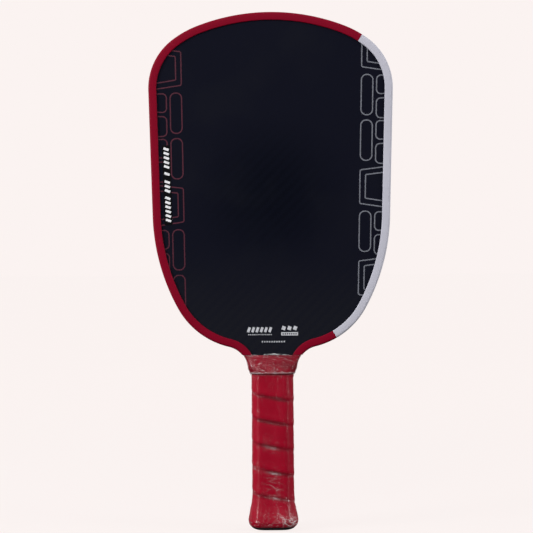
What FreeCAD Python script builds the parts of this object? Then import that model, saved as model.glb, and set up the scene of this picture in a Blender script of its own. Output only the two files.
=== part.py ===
"""Pickleball paddle: a foam-edged honeycomb blade in carbon skins, an edge guard and a wrapped handle.

Frame: +Z runs from the butt end up to the top of the head, +X to the right and -Y out of the front face.
The origin is the centre of the flat butt end. Lengths are millimetres and angles are degrees.
"""

import FreeCAD, Part
import math
import os

import Sketcher
from FreeCAD import Vector

DIMENSIONS = {
    # Head outline, walked from the top of the head down to the neck: one radius and one turn for each arc.
    "overall_length": 414.0,
    "overall_width": 195.6,
    "crown_radius": 163.7,
    "crown_turn": 21.1,
    "shoulder_radius": 79.8,
    "shoulder_turn": 16.4,
    "side_taper": 1.6,
    "side_length": 101.1,
    "flank_radius": 163.6,
    "flank_turn": 26.8,
    "hip_radius": 62.9,
    "hip_turn": 48.3,
    "throat_radius": 19.0,
    "neck_bottom": 126.5,
    # Blade, through its thickness.
    "blade_thickness": 16.0,
    "skin_thickness": 0.6,
    "film_thickness": 0.15,
    "rim_wall": 0.6,
    "foam_width": 8.0,
    "core_bottom": 150.0,
    "cell_pitch": 8.0,
    "cell_wall": 0.4,
    "tongue_half_width": 11.0,
    "tongue_bottom": 4.0,
    "tongue_top": 142.0,
    # Edge guard: a channel with two lips, cut into three runs, on a foam tape.
    "guard_thickness": 18.4,
    "guard_wall": 1.2,
    "guard_lip": 6.5,
    "guard_round": 1.8,
    "guard_bottom": 139.8,
    "grey_top_turn": 11.8,
    "grey_bottom_turn": 31.5,
    "joint_reach": 30.0,
    "tape_thickness": 0.3,
    "tape_width": 15.0,
    # Handle shells: two halves of an octagonal bar, with a cavity for the tongue and a seat for the cap.
    "shell_half_width": 14.9,
    "shell_half_thickness": 12.0,
    "shell_corner_x": 4.2,
    "shell_corner_y": 5.0,
    "shell_bottom": 3.05,
    "shell_top": 137.0,
    "shell_ramp_start": 121.0,
    "shell_lip": 0.5,
    "fit_gap": 0.05,
    # Butt cap and its staples. A spread is how far an octagon stands out from the handle shells' own.
    "cap_floor": 3.0,
    "cap_wall": 1.2,
    "cap_top": 30.0,
    "base_spread": -2.9,
    "rim_height": 1.4,
    "rim_spread": 0.3,
    "bulge_height": 4.2,
    "bulge_spread": 2.9,
    "flare_height": 7.0,
    "flare_spread": 3.2,
    "flare_top": 25.0,
    "recess_margin": 3.0,
    "recess_depth": 0.5,
    "staple_crown": 10.0,
    "staple_leg": 3.6,
    "staple_wire": 0.9,
    "staple_height": 27.5,
    # Grip, finishing tape, collar and clear film sleeve.
    "grip_thickness": 1.75,
    "grip_gap": 0.02,
    "grip_bottom": 1.6,
    "grip_bottom_spread": 1.5,
    "grip_bulge_spread": 4.3,
    "grip_top": 127.5,
    "finish_tape_bottom": 124.9,
    "finish_tape_thickness": 0.15,
    "collar_wall": 0.8,
    "collar_bottom": 124.4,
    "collar_bottom_half": 17.8,
    "collar_bottom_corner": 5.4,
    "collar_waist": 128.6,
    "collar_waist_half": 19.45,
    "collar_waist_corner": 4.5,
    "collar_neck": 134.0,
    "collar_neck_half": 20.4,
    "collar_neck_corner": 3.0,
    "collar_top": 139.6,
    "collar_top_half": 23.3,
    "collar_top_corner": 0.8,
    "collar_deep": 14.9,
    "collar_neck_deep": 12.0,
    "collar_top_deep": 9.3,
    "sleeve_gap": 0.15,
    "sleeve_wall": 0.1,
    "sleeve_bottom": 2.2,
    "sleeve_step": 118.0,
    "sleeve_top": 139.5,
    # Specification label on the front face.
    "label_width": 6.4,
    "label_height": 63.8,
    "label_thickness": 0.1,
    "label_x": -83.0,
    "label_z": 276.0,
}

doc = FreeCAD.newDocument("pickleball_paddle")
sheet = doc.addObject("Spreadsheet::Sheet", "dims")
for row, (alias, number) in enumerate(DIMENSIONS.items(), start=1):
    sheet.set(f"A{row}", alias.replace("_", " "))
    sheet.set(f"B{row}", str(number))
    sheet.setAlias(f"B{row}", alias)
gauge = doc.addObject("App::FeaturePython", "gauge")
gauge.addProperty("App::PropertyFloat", "Reading")
doc.recompute()


def cells(expression):
    """The expression with every dimension's name turned into its cell's address in the sheet."""
    words = []
    word = ""
    for letter in expression + " ":
        if letter.isalnum() or letter == "_":
            word += letter
            continue
        words.append(f"dims.{word}" if word in DIMENSIONS else word)
        words.append(letter)
        word = ""
    return "".join(words).strip()


def value(expression):
    """The number that an expression in dimension names gives, in millimetres or degrees."""
    gauge.setExpression("Reading", cells(expression))
    gauge.recompute()
    return gauge.Reading


def bind(thing, prop, expression):
    thing.setExpression(prop, cells(expression))


# ---- Head outline ----------------------------------------------------------------------------------------

UPRIGHT = FreeCAD.Placement(Vector(0, 0, 0), FreeCAD.Rotation(Vector(1, 0, 0), 90))
TINY = 1e-6

CROWN_REACH = "crown_radius * sin(crown_turn * 1 deg)"
SHOULDER_END = "(crown_turn + shoulder_turn)"
SHOULDER_REACH = f"shoulder_radius * (sin({SHOULDER_END} * 1 deg) - sin(crown_turn * 1 deg))"
CORNER_REACH = f"(overall_width / 2 - {CROWN_REACH} - {SHOULDER_REACH})"
CORNER_RADIUS = f"{CORNER_REACH} / (1 - sin({SHOULDER_END} * 1 deg))"

# Each arc of one side: its name, radius, turn, and 1 where it bulges outwards or -1 where it is hollow.
SIDE_ARCS = [
    ("shoulder", "shoulder_radius", "shoulder_turn", 1),
    ("corner", CORNER_RADIUS, f"90 + side_taper - {SHOULDER_END}", 1),
    ("side", None, "side_length", 0),
    ("flank", "flank_radius", "flank_turn", 1),
    ("hip", "hip_radius", "hip_turn", 1),
    ("throat", "throat_radius", "side_taper + flank_turn + hip_turn", -1),
]


def ahead(heading):
    """The direction of travel, where heading is degrees turned clockwise from +X."""
    return Vector(math.cos(math.radians(heading)), -math.sin(math.radians(heading)), 0)


def walk_side():
    """Start, end, centre and headings of each stretch of the right-hand side, in the sketch's plane."""
    turned = value("crown_turn")
    crown_centre = Vector(0, value("overall_length - crown_radius"), 0)
    place = crown_centre + ahead(turned - 90) * value("crown_radius")
    stretches = {}
    for name, radius, amount, bulge in SIDE_ARCS:
        start = place
        if bulge == 0:
            centre = None
            place = start + ahead(turned) * value(amount)
            stretches[name] = (start, place, centre, turned, turned)
            continue
        inward = ahead(turned + 90 * bulge)
        centre = start + inward * value(radius)
        arrived = turned + bulge * value(amount)
        place = centre - ahead(arrived + 90 * bulge) * value(radius)
        stretches[name] = (start, place, centre, turned, arrived)
        turned = arrived
    return stretches


def across(point, side):
    return Vector(point.x * side, point.y, 0)


def arc_between(start, end, centre):
    """The shorter arc round centre, with the sketch's numbers for its points at start and end."""
    radius = (start - centre).Length
    first = math.atan2(start.y - centre.y, start.x - centre.x)
    last = math.atan2(end.y - centre.y, end.x - centre.x)
    circle = Part.Circle(centre, Vector(0, 0, 1), radius)
    anticlockwise = (last - first) % (2 * math.pi) < math.pi
    if anticlockwise:
        return Part.ArcOfCircle(circle, first, last), 1, 2
    return Part.ArcOfCircle(circle, last, first), 2, 1


def outline_sketch():
    """The edge guard's outer edge, closed across the neck. The blade's outlines are offset from it."""
    sketch = doc.addObject("Sketcher::SketchObject", "head_outline")
    sketch.Placement = UPRIGHT

    def limit(kind, *where, name, expression, unit=""):
        """Adds a constraint of that kind whose size follows the sheet."""
        number = value(expression)
        size = math.radians(number) if unit else number
        index = sketch.addConstraint(Sketcher.Constraint(kind, *where, size))
        sketch.renameConstraint(index, name)
        bind(sketch, f"Constraints.{name}", f"({expression}){unit}")

    def join(kind, *where):
        sketch.addConstraint(Sketcher.Constraint(kind, *where))

    stretches = walk_side()
    origin, origin_point, upright_axis, centre_point = -1, 1, -2, 3
    crown_right = stretches["shoulder"][0]
    crown_centre = Vector(0, value("overall_length - crown_radius"), 0)
    arc, crown_start, crown_end = arc_between(crown_right, across(crown_right, -1), crown_centre)
    crown = sketch.addGeometry(arc)
    join("PointOnObject", crown, centre_point, upright_axis)
    join("Horizontal", crown, crown_start, crown, crown_end)
    limit(
        "DistanceY", origin, origin_point, crown, centre_point,
        name="crown_centre", expression="overall_length - crown_radius",
    )
    limit("Radius", crown, name="crown_radius", expression="crown_radius")
    limit("Angle", crown, name="crown_turn", expression="2 * crown_turn", unit=" * 1 deg")

    ends = []
    for side, label in ((1, "right"), (-1, "left")):
        last, last_point = crown, crown_start if side == 1 else crown_end
        for name, radius, amount, bulge in SIDE_ARCS:
            start, end, centre, _, _ = stretches[name]
            if bulge == 0:
                line = Part.LineSegment(across(start, side), across(end, side))
                here = sketch.addGeometry(line)
                join("Tangent", last, last_point, here, 1)
                limit("Distance", here, name=f"{name}_{label}", expression=amount)
                last, last_point = here, 2
                continue
            arc, first_point, end_point = arc_between(
                across(start, side), across(end, side), across(centre, side)
            )
            here = sketch.addGeometry(arc)
            join("Tangent", last, last_point, here, first_point)
            limit("Radius", here, name=f"{name}_radius_{label}", expression=radius)
            limit("Angle", here, name=f"{name}_turn_{label}", expression=amount, unit=" * 1 deg")
            last, last_point = here, end_point
        top = across(stretches["throat"][1], side)
        bottom = Vector(top.x, value("neck_bottom"), 0)
        neck = sketch.addGeometry(Part.LineSegment(top, bottom))
        join("Tangent", last, last_point, neck, 1)
        limit(
            "DistanceY", origin, origin_point, neck, 2,
            name=f"neck_{label}", expression="neck_bottom",
        )
        ends.append((neck, bottom))
    (right, right_point), (left, left_point) = ends
    floor = sketch.addGeometry(Part.LineSegment(right_point, left_point))
    join("Coincident", right, 2, floor, 1)
    join("Coincident", left, 2, floor, 2)
    return sketch


OUTLINE = outline_sketch()
doc.recompute()


# ---- Shared tools ----------------------------------------------------------------------------------------


def polygon(sketch, corners):
    """Closed straight-sided outline whose corners are pairs of expressions, from the sketch's origin."""
    points = [Vector(value(x), value(y), 0) for x, y in corners]
    count = len(points)
    for index, point in enumerate(points):
        sketch.addGeometry(Part.LineSegment(point, points[(index + 1) % count]))
    for index in range(count):
        sketch.addConstraint(Sketcher.Constraint("Coincident", index, 2, (index + 1) % count, 1))
    for index, (point, corner) in enumerate(zip(points, corners)):
        for axis, kind, number in ((0, "DistanceX", point.x), (1, "DistanceY", point.y)):
            if abs(number) < TINY:
                on_axis = -2 if axis == 0 else -1
                sketch.addConstraint(Sketcher.Constraint("PointOnObject", index, 1, on_axis))
                continue
            ends = (-1, 1, index, 1) if number > 0 else (index, 1, -1, 1)
            sign = "" if number > 0 else "-"
            row = sketch.addConstraint(Sketcher.Constraint(kind, *ends, abs(number)))
            sketch.renameConstraint(row, f"{kind}{index}")
            bind(sketch, f"Constraints.{kind}{index}", f"{sign}({corner[axis]})")


def flat_sketch(name, corners, placement):
    sketch = doc.addObject("Sketcher::SketchObject", name)
    sketch.Placement = placement
    polygon(sketch, corners)
    return sketch


def inset(label, distance):
    """The head outline, moved inwards by a distance."""
    profile = doc.addObject("Part::Offset2D", label)
    profile.Source = OUTLINE
    bind(profile, "Value", f"-({distance})")
    return profile


def slab(label, profile, front, back):
    """A profile in the upright plane made solid from a front to a back, each given along +Y."""
    solid = doc.addObject("Part::Extrusion", label)
    solid.Base = profile
    solid.DirMode = "Custom"
    solid.Dir = Vector(0, 1, 0)
    bind(solid, "LengthFwd", back)
    bind(solid, "LengthRev", f"-({front})")
    solid.Solid = True
    return solid


def block(label, left, right, front, back, bottom, top):
    """A box between three pairs of sides."""
    solid = doc.addObject("Part::Box", label)
    for size, place, low, high in (
        ("Length", "x", left, right), ("Width", "y", front, back), ("Height", "z", bottom, top),
    ):
        bind(solid, size, f"({high}) - ({low})")
        bind(solid, f"Placement.Base.{place}", low)
    return solid


def everything_below(label, height):
    """A box that takes in all of the paddle up to a height."""
    return block(label, f"-{PAST}", PAST, f"-{PAST}", PAST, "0", height)


def cut(label, base, tool):
    result = doc.addObject("Part::Cut", label)
    result.Base = base
    result.Tool = tool
    return result


def common(label, base, tool):
    result = doc.addObject("Part::Common", label)
    result.Base = base
    result.Tool = tool
    return result


def fuse(label, shapes):
    result = doc.addObject("Part::MultiFuse", label)
    result.Shapes = shapes
    result.Refine = True
    return result


def mirror(label, source):
    """The same piece on the other face."""
    result = doc.addObject("Part::Mirroring", label)
    result.Source = source
    result.Normal = Vector(0, 1, 0)
    return result


# Further from the middle than any part of the paddle, across it and through it.
PAST = "overall_width"

# How far an octagon's corners slide along its flats when all eight sides move out by one.
SIDE_SLIDE = "tan(atan(shell_corner_x / shell_corner_y) / 2)"
FACE_SLIDE = "tan(45 deg - atan(shell_corner_x / shell_corner_y) / 2)"


def ring_of_corners(half_width, half_depth, corner_x, corner_y):
    """The eight corners of a rectangle with its corners cut, as expressions."""
    flat_x = f"({half_width}) - ({corner_x})"
    flat_y = f"({half_depth}) - ({corner_y})"
    quarter = [(f"({half_width})", f"({flat_y})"), (f"({flat_x})", f"({half_depth})")]
    corners = []
    for sign_x, sign_y, step in (("", "", 1), ("-", "", -1), ("-", "-", 1), ("", "-", -1)):
        corners += [(sign_x + x, sign_y + y) for x, y in quarter[::step]]
    return corners


def spread_octagon(spread):
    """The handle shells' octagon with all eight sides moved out by a spread."""
    return ring_of_corners(
        f"shell_half_width + ({spread})",
        f"shell_half_thickness + ({spread})",
        f"shell_corner_x + ({spread}) * (1 - {FACE_SLIDE})",
        f"shell_corner_y + ({spread}) * (1 - {SIDE_SLIDE})",
    )


def collar_octagon(half_width, half_depth, corner, growth):
    """A rectangle with its corners cut at 45 degrees, moved out by a growth."""
    return ring_of_corners(f"{half_width} + ({growth})", f"{half_depth} + ({growth})", corner, corner)


def add_loft(body, kind, name, stations):
    """Straight-sided loft through stations, which are pairs of a height and a ring of corners."""
    level = next(item for item in body.Origin.OriginFeatures if item.Role == "XY_Plane")
    sketches = []
    for number, (height, corners) in enumerate(stations):
        sketch = body.newObject("Sketcher::SketchObject", f"{name}_{number}")
        sketch.AttachmentSupport = [(level, "")]
        sketch.MapMode = "FlatFace"
        bind(sketch, "AttachmentOffset.Base.z", height)
        polygon(sketch, corners)
        sketches.append(sketch)
    loft = body.newObject(kind, name)
    loft.Profile = sketches[0]
    loft.Sections = sketches[1:]
    loft.Ruled = True
    body.Tip = loft


def octagons(stations):
    """Stations for a loft, from pairs of a height and a spread."""
    return [(height, spread_octagon(spread)) for height, spread in stations]


def tube_body(label, outside, inside):
    """A body lofted through its outside stations, then hollowed through its inside ones."""
    body = doc.addObject("PartDesign::Body", label)
    add_loft(body, "PartDesign::AdditiveLoft", f"{label}_outside", outside)
    if inside:
        add_loft(body, "PartDesign::SubtractiveLoft", f"{label}_inside", inside)
    return body


# ---- Blade -----------------------------------------------------------------------------------------------

HALF_BLADE = "blade_thickness / 2"
HALF_CORE = "(blade_thickness / 2 - skin_thickness - film_thickness)"
BLADE_INSET = "guard_wall + tape_thickness"
RIM_INSET = f"{BLADE_INSET} + rim_wall"
FOAM_INSET = f"{RIM_INSET} + foam_width"

blade_profile = inset("blade_profile", BLADE_INSET)
rim_profile = inset("rim_profile", RIM_INSET)
foam_profile = inset("foam_profile", FOAM_INSET)


def tongue_block(label, front, back):
    return block(
        label, "-tongue_half_width", "tongue_half_width", front, back, "tongue_bottom", "tongue_top"
    )


def face_layer(name, front, back):
    """One sheet over the front of the head and down the tongue, and its mirror image over the back."""
    over_head = slab(f"{name}_over_head", blade_profile, front, back)
    down_tongue = tongue_block(f"{name}_down_tongue", front, back)
    return fuse(f"front_{name}", [over_head, down_tongue])


def face_layers():
    skin = face_layer("face_skin", f"-{HALF_BLADE}", f"-{HALF_BLADE} + skin_thickness")
    film = face_layer("bond_film", f"-{HALF_BLADE} + skin_thickness", f"-{HALF_CORE}")
    return [skin, film, mirror("back_face_skin", skin), mirror("back_bond_film", film)]


def core_slab(name, profile):
    return slab(name, profile, f"-{HALF_CORE}", HALF_CORE)


def carbon_rim():
    """The moulded side wall of the blade, open where the tongue leaves the head."""
    outside = core_slab("rim_outside", blade_profile)
    ring = cut("rim_ring", outside, core_slab("rim_inside", rim_profile))
    return cut("carbon_rim", ring, tongue_block("rim_opening", f"-{PAST}", PAST))


def foam_edge_wall():
    """Foam poured round the honeycomb, open where the tongue leaves the head."""
    outside = core_slab("foam_outside", rim_profile)
    ring = cut("foam_ring", outside, core_slab("foam_inside", foam_profile))
    return cut("foam_edge_wall", ring, tongue_block("foam_opening", f"-{PAST}", PAST))


def handle_core():
    """The solid heel of the head between the foam walls, and the tongue down inside the handle."""
    below = everything_below("below_honeycomb", "core_bottom")
    heel = common("heel", core_slab("heel_slab", foam_profile), below)
    tongue = tongue_block("tongue", f"-{HALF_CORE}", HALF_CORE)
    return fuse("handle_core", [heel, tongue])


def hexagon(centre, reach):
    corners = [centre + ahead(60 * turn + 30) * reach for turn in range(6)]
    wire = Part.makePolygon(corners + corners[:1])
    wire.Placement = UPRIGHT
    return wire


def honeycomb_cells(plate):
    """Outlines of the cells of a hexagonal grid that lie wholly inside a plate."""
    pitch = value("cell_pitch")
    wall = value("cell_wall")
    reach = (pitch - wall) / math.sqrt(3)
    row_step = pitch * math.sqrt(3) / 2
    box = plate.BoundBox
    rows = int(box.ZLength / row_step) + 1
    columns = int(box.XMax / pitch) + 1
    wires = []
    for row in range(rows):
        shift = pitch / 2 if row % 2 else 0
        for column in range(-columns, columns + 1):
            centre = Vector(column * pitch + shift, box.ZMin + reach + wall + row * row_step, 0)
            middle = Part.Vertex(Vector(centre.x, 0, centre.y))
            inside = middle.distToShape(plate)[0] < TINY
            if inside and middle.distToShape(plate.OuterWire)[0] > reach + wall:
                wires.append(hexagon(centre, reach))
    return wires


def honeycomb_core():
    """Hexagonal cells that run through the thickness; cells that the edge would clip stay solid."""
    outline = Part.Face(foam_profile.Shape.Wires[0])
    box = outline.BoundBox
    depth = value("blade_thickness")
    corner = Vector(box.XMin, -depth / 2, value("core_bottom"))
    above = Part.makeBox(box.XLength, depth, box.ZLength, corner)
    plate = outline.common(above).Faces[0]
    pierced = Part.makeFace([plate.OuterWire] + honeycomb_cells(plate), "Part::FaceMakerBullseye")
    half = value(HALF_CORE)
    pierced.translate(Vector(0, half, 0))
    core = doc.addObject("Part::Feature", "honeycomb_core")
    core.Shape = pierced.extrude(Vector(0, -2 * half, 0))
    return core


# ---- Edge guard ------------------------------------------------------------------------------------------


def guard_channel():
    """The guard before it is cut into runs: a channel with its two ends on the throat collar."""
    outside = slab("guard_outside", OUTLINE, "-guard_thickness / 2", "guard_thickness / 2")
    window = slab("guard_window", inset("window_profile", "guard_lip"), f"-{PAST}", PAST)
    channel_profile = inset("channel_profile", "guard_wall")
    channel = slab("guard_channel_void", channel_profile, f"-{HALF_BLADE}", HALF_BLADE)
    below = everything_below("below_guard", "guard_bottom")
    ring = cut("guard_ring", outside, fuse("guard_voids", [window, channel, below]))
    doc.recompute()
    half = value("guard_thickness / 2")
    rounding = value("guard_round")
    edges = []
    for number, edge in enumerate(ring.Shape.Edges, start=1):
        middle = edge.valueAt((edge.FirstParameter + edge.LastParameter) / 2)
        level = OUTLINE.Shape.translated(Vector(0, middle.y, 0))
        on_outline = Part.Vertex(middle).distToShape(level)[0] < TINY
        if on_outline and abs(abs(middle.y) - half) < TINY:
            edges.append((number, rounding, rounding))
    rounded = doc.addObject("Part::Fillet", "guard_rounded")
    rounded.Base = ring
    rounded.Edges = edges
    return rounded


def joint_wedge():
    """Everything outboard of the two joints, which are square to the outline."""
    stretches = walk_side()
    _, _, top_centre, top_heading, _ = stretches["shoulder"]
    _, _, low_centre, low_heading, _ = stretches["hip"]
    top_out = ahead(top_heading + value("grey_top_turn") - 90)
    low_out = ahead(low_heading + value("grey_bottom_turn") - 90)
    top_end = top_centre + top_out * value("shoulder_radius + joint_reach")
    low_end = low_centre + low_out * value("hip_radius + joint_reach")
    far = value("overall_width")
    top_far = Vector(far, top_end.y, 0)
    low_far = Vector(far, low_end.y, 0)
    corners = [top_centre, top_end, top_far, low_far, low_end, low_centre]
    face = Part.Face(Part.makePolygon(corners + corners[:1]))
    face.Placement = UPRIGHT
    depth = value("guard_thickness")
    face.translate(Vector(0, depth, 0))
    wedge = doc.addObject("Part::Feature", "joint_wedge")
    wedge.Shape = face.extrude(Vector(0, -2 * depth, 0))
    return wedge


def edge_guard():
    """The long red run, the grey run and the short red run."""
    channel = guard_channel()
    wedge = joint_wedge()
    low_right = block("low_right", "0", PAST, f"-{PAST}", PAST, "0", "overall_length / 2")
    red = cut("red_runs", channel, wedge)
    return [
        common("edge_guard_grey", channel, wedge),
        common("edge_guard_red_short", red, low_right),
        cut("edge_guard_red_long", red, low_right),
    ]


def guard_tape():
    """Foam tape between the blade's side wall and the guard."""
    profile = inset("tape_profile", "guard_wall")
    outside = slab("tape_outside", profile, "-tape_width / 2", "tape_width / 2")
    inside = slab("tape_inside", blade_profile, "-tape_width", "tape_width")
    below = everything_below("below_tape", "guard_bottom")
    return cut("guard_tape", outside, fuse("tape_voids", [inside, below]))


# ---- Handle ----------------------------------------------------------------------------------------------

SEAT_SPREAD = "-cap_wall - fit_gap"
CAP_STATIONS = [
    ("0", "base_spread"),
    ("rim_height", "rim_spread"),
    ("bulge_height", "bulge_spread"),
    ("flare_height", "flare_spread"),
    ("flare_top", "0"),
    ("cap_top", "0"),
]


def prism(label, bottom, top, spread):
    """An upright octagonal bar."""
    profile = flat_sketch(f"{label}_profile", spread_octagon(spread), FreeCAD.Placement())
    bind(profile, "Placement.Base.z", bottom)
    solid = doc.addObject("Part::Extrusion", label)
    solid.Base = profile
    solid.DirMode = "Custom"
    solid.Dir = Vector(0, 0, 1)
    bind(solid, "LengthFwd", f"({top}) - ({bottom})")
    solid.Solid = True
    return solid


def shell_side_profile():
    """Side view of the front shell: full depth below the head, then a ramp up to a thin lip on the face.

    It stands out from the bar by the lip's thickness, and the ramp is carried on down to there.
    """
    ramp_slope = f"(shell_half_thickness - {HALF_BLADE} - shell_lip) / (shell_top - shell_ramp_start)"
    ramp_foot = f"shell_ramp_start - shell_lip / ({ramp_slope})"
    outermost = "-shell_half_thickness - shell_lip"
    head = f"{HALF_BLADE} + fit_gap"
    head_bottom = f"neck_bottom + {BLADE_INSET} - fit_gap"
    corners = [
        ("0", "shell_bottom"),
        ("0", head_bottom),
        (f"-({head})", head_bottom),
        (f"-({head})", "shell_top"),
        (f"-({HALF_BLADE} + shell_lip)", "shell_top"),
        (outermost, ramp_foot),
        (outermost, "shell_bottom"),
    ]
    sideways = FreeCAD.Placement(Vector(0, 0, 0), FreeCAD.Rotation(Vector(1, 1, 1), 120))
    return flat_sketch("shell_side_profile", corners, sideways)


def handle_shells(staples):
    """Front and back halves of the octagonal bar round the tongue, with a seat for the butt cap."""
    seat = prism("shell_seat", "shell_bottom", "cap_top + fit_gap", SEAT_SPREAD)
    bar = prism("shell_bar", "cap_top + fit_gap", "shell_top", "0")
    side = doc.addObject("Part::Extrusion", "shell_side")
    side.Base = shell_side_profile()
    side.DirMode = "Custom"
    side.Dir = Vector(1, 0, 0)
    bind(side, "LengthFwd", "2 * shell_half_width")
    side.Symmetric = True
    side.Solid = True
    half = common("shell_half", fuse("shell_octagons", [seat, bar]), side)
    cavity_side = "(tongue_half_width + fit_gap)"
    cavity = block(
        "tongue_cavity",
        f"-{cavity_side}", cavity_side,
        f"-({HALF_BLADE} + fit_gap)", HALF_BLADE,
        "0", f"neck_bottom + {BLADE_INSET}",
    )
    front = cut("front_handle_shell", half, fuse("shell_voids", [cavity, staples]))
    return [front, mirror("back_handle_shell", front)]


def staple(label):
    """The front staple: a flat crown set into the cap, with two legs into the shell."""
    body = doc.addObject("PartDesign::Body", label)
    level = next(item for item in body.Origin.OriginFeatures if item.Role == "XY_Plane")
    sketch = body.newObject("Sketcher::SketchObject", f"{label}_outline")
    sketch.AttachmentSupport = [(level, "")]
    sketch.MapMode = "FlatFace"
    bind(sketch, "AttachmentOffset.Base.z", "staple_height")
    outer = "staple_crown / 2"
    inner = "staple_crown / 2 - staple_wire"
    crown = "-shell_half_thickness"
    throat = "-shell_half_thickness + staple_wire"
    tip = "-shell_half_thickness + staple_leg"
    polygon(sketch, [
        (f"-({outer})", crown),
        (outer, crown),
        (outer, tip),
        (inner, tip),
        (inner, throat),
        (f"-({inner})", throat),
        (f"-({inner})", tip),
        (f"-({outer})", tip),
    ])
    pad = body.newObject("PartDesign::Pad", f"{label}_pad")
    pad.Profile = sketch
    pad.Midplane = True
    bind(pad, "Length", "staple_wire")
    return body


def staple_pair():
    front = staple("front_staple")
    pair = doc.addObject("Part::Compound", "butt_cap_staples")
    pair.Links = [front, mirror("back_staple", front)]
    return pair


def butt_cap(staples):
    """Flared octagonal cup with a bevelled end, a shallow recess there and a slot for each staple."""
    outside = tube_body("cap_outside", octagons(CAP_STATIONS), [])
    cavity = prism("cap_cavity", "cap_floor", "cap_top", "-cap_wall")
    recess = prism("end_recess", "-recess_depth", "recess_depth", "base_spread - recess_margin")
    return cut("butt_cap", outside, fuse("cap_voids", [cavity, recess, staples]))


# ---- Wrapping --------------------------------------------------------------------------------------------

GRIP_OUT = "grip_thickness + grip_gap"
GRIP_STATIONS = [
    ("grip_bottom", "grip_bottom_spread"),
    ("bulge_height", "grip_bulge_spread"),
    ("flare_height", f"flare_spread + {GRIP_OUT}"),
    ("flare_top", GRIP_OUT),
]
CAP_AT_GRIP_BOTTOM = (
    "rim_spread + (bulge_spread - rim_spread) * (grip_bottom - rim_height) / (bulge_height - rim_height)"
)
GRIP_AT_SLEEVE_BOTTOM = (
    "grip_bottom_spread + (grip_bulge_spread - grip_bottom_spread)"
    " * (sleeve_bottom - grip_bottom) / (bulge_height - grip_bottom)"
)
COLLAR_STATIONS = [
    ("collar_bottom", "collar_bottom_half", "collar_deep", "collar_bottom_corner"),
    ("collar_waist", "collar_waist_half", "collar_deep", "collar_waist_corner"),
    ("collar_neck", "collar_neck_half", "collar_neck_deep", "collar_neck_corner"),
    ("collar_top", "collar_top_half", "collar_top_deep", "collar_top_corner"),
]


def cushion_grip():
    """The wound grip as one closed tube over the butt cap and the handle shells."""
    outside = GRIP_STATIONS + [("grip_top", GRIP_OUT)]
    inside = [
        ("grip_bottom", f"{CAP_AT_GRIP_BOTTOM} + grip_gap"),
        ("bulge_height", "bulge_spread + grip_gap"),
        ("flare_height", "flare_spread + grip_gap"),
        ("flare_top", "grip_gap"),
        ("grip_top", "grip_gap"),
    ]
    return tube_body("cushion_grip", octagons(outside), octagons(inside))


def grip_finishing_tape():
    """Band that holds the end of the grip, under the collar."""
    spread = f"{GRIP_OUT} + finish_tape_thickness"
    band = prism("finish_tape_outside", "finish_tape_bottom", "grip_top", spread)
    return cut("grip_finishing_tape", band, prism("finish_tape_inside", "0", "collar_top", GRIP_OUT))


def throat_collar():
    """Stretched rubber ring over the end of the grip and the foot of the head."""

    def stations(growth):
        return [(height, collar_octagon(*section, growth)) for height, *section in COLLAR_STATIONS]

    return tube_body("throat_collar", stations("0"), stations("-collar_wall"))


def grip_film():
    """Clear sleeve, shrunk over the grip and the collar."""

    over_grip = [("sleeve_bottom", GRIP_AT_SLEEVE_BOTTOM), *GRIP_STATIONS[1:], ("sleeve_step", GRIP_OUT)]
    collar_heights = ["collar_bottom - sleeve_gap", "collar_waist", "collar_neck", "sleeve_top"]

    def stations(growth):
        rings = octagons([(height, f"{spread} + {growth}") for height, spread in over_grip])
        for height, (_, *section) in zip(collar_heights, COLLAR_STATIONS):
            rings.append((height, collar_octagon(*section, growth)))
        return rings

    return tube_body("grip_film", stations("sleeve_gap + sleeve_wall"), stations("sleeve_gap"))


def spec_label():
    """Narrow sticker on the front face, parallel to the side of the head."""
    label = doc.addObject("Part::Box", "spec_label")
    bind(label, "Length", "label_width")
    bind(label, "Width", "label_thickness")
    bind(label, "Height", "label_height")
    tilt = math.radians(value("side_taper"))
    half_width = value("label_width / 2")
    half_height = value("label_height / 2")
    corner_x = value("label_x") - half_width * math.cos(tilt) + half_height * math.sin(tilt)
    corner_z = value("label_z") - half_width * math.sin(tilt) - half_height * math.cos(tilt)
    corner = Vector(corner_x, -value(f"{HALF_BLADE} + label_thickness"), corner_z)
    tilted = FreeCAD.Rotation(Vector(0, -1, 0), value("side_taper"))
    label.Placement = FreeCAD.Placement(corner, tilted)
    return label


# ---- Build, check and write ------------------------------------------------------------------------------


def build():
    doc.recompute()
    staples = staple_pair()
    pieces = face_layers()
    pieces += [carbon_rim(), foam_edge_wall(), handle_core(), honeycomb_core()]
    pieces += edge_guard() + [guard_tape()]
    pieces += handle_shells(staples) + [butt_cap(staples), staples]
    pieces += [cushion_grip(), grip_finishing_tape(), throat_collar(), grip_film(), spec_label()]
    doc.recompute()
    return pieces


def check(pieces):
    """Stops on any object that failed to compute and on any piece without a sound solid."""
    for item in doc.Objects:
        if "Invalid" in item.State or "Error" in item.State:
            raise RuntimeError(f"{item.Label} failed: {item.State}")
    for piece in pieces:
        shape = piece.Shape
        if shape.isNull() or not shape.isValid() or not shape.Solids:
            raise RuntimeError(f"{piece.Label} is not a sound solid")


def write(pieces):
    os.makedirs("parts", exist_ok=True)
    for piece in pieces:
        piece.Shape.exportStep(f"parts/{piece.Label}.step")
        shape = piece.Shape
        print(f"{piece.Label:22s} solids {len(shape.Solids)}  volume {shape.Volume:10.1f}  {shape.BoundBox}")


pieces = build()
check(pieces)
write(pieces)
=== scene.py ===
"""Looks for a pickleball paddle: coated faces with printed outlines, a two-colour edge guard, a wound grip
in a clear sleeve, a rubber collar and a moulded butt cap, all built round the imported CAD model.

Everything is in metres in the model's own frame: +Z up to the head, +X right and -Y out of the front face.
"""

import math

import bmesh
import bpy
from mathutils import Matrix, Vector, noise


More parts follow.
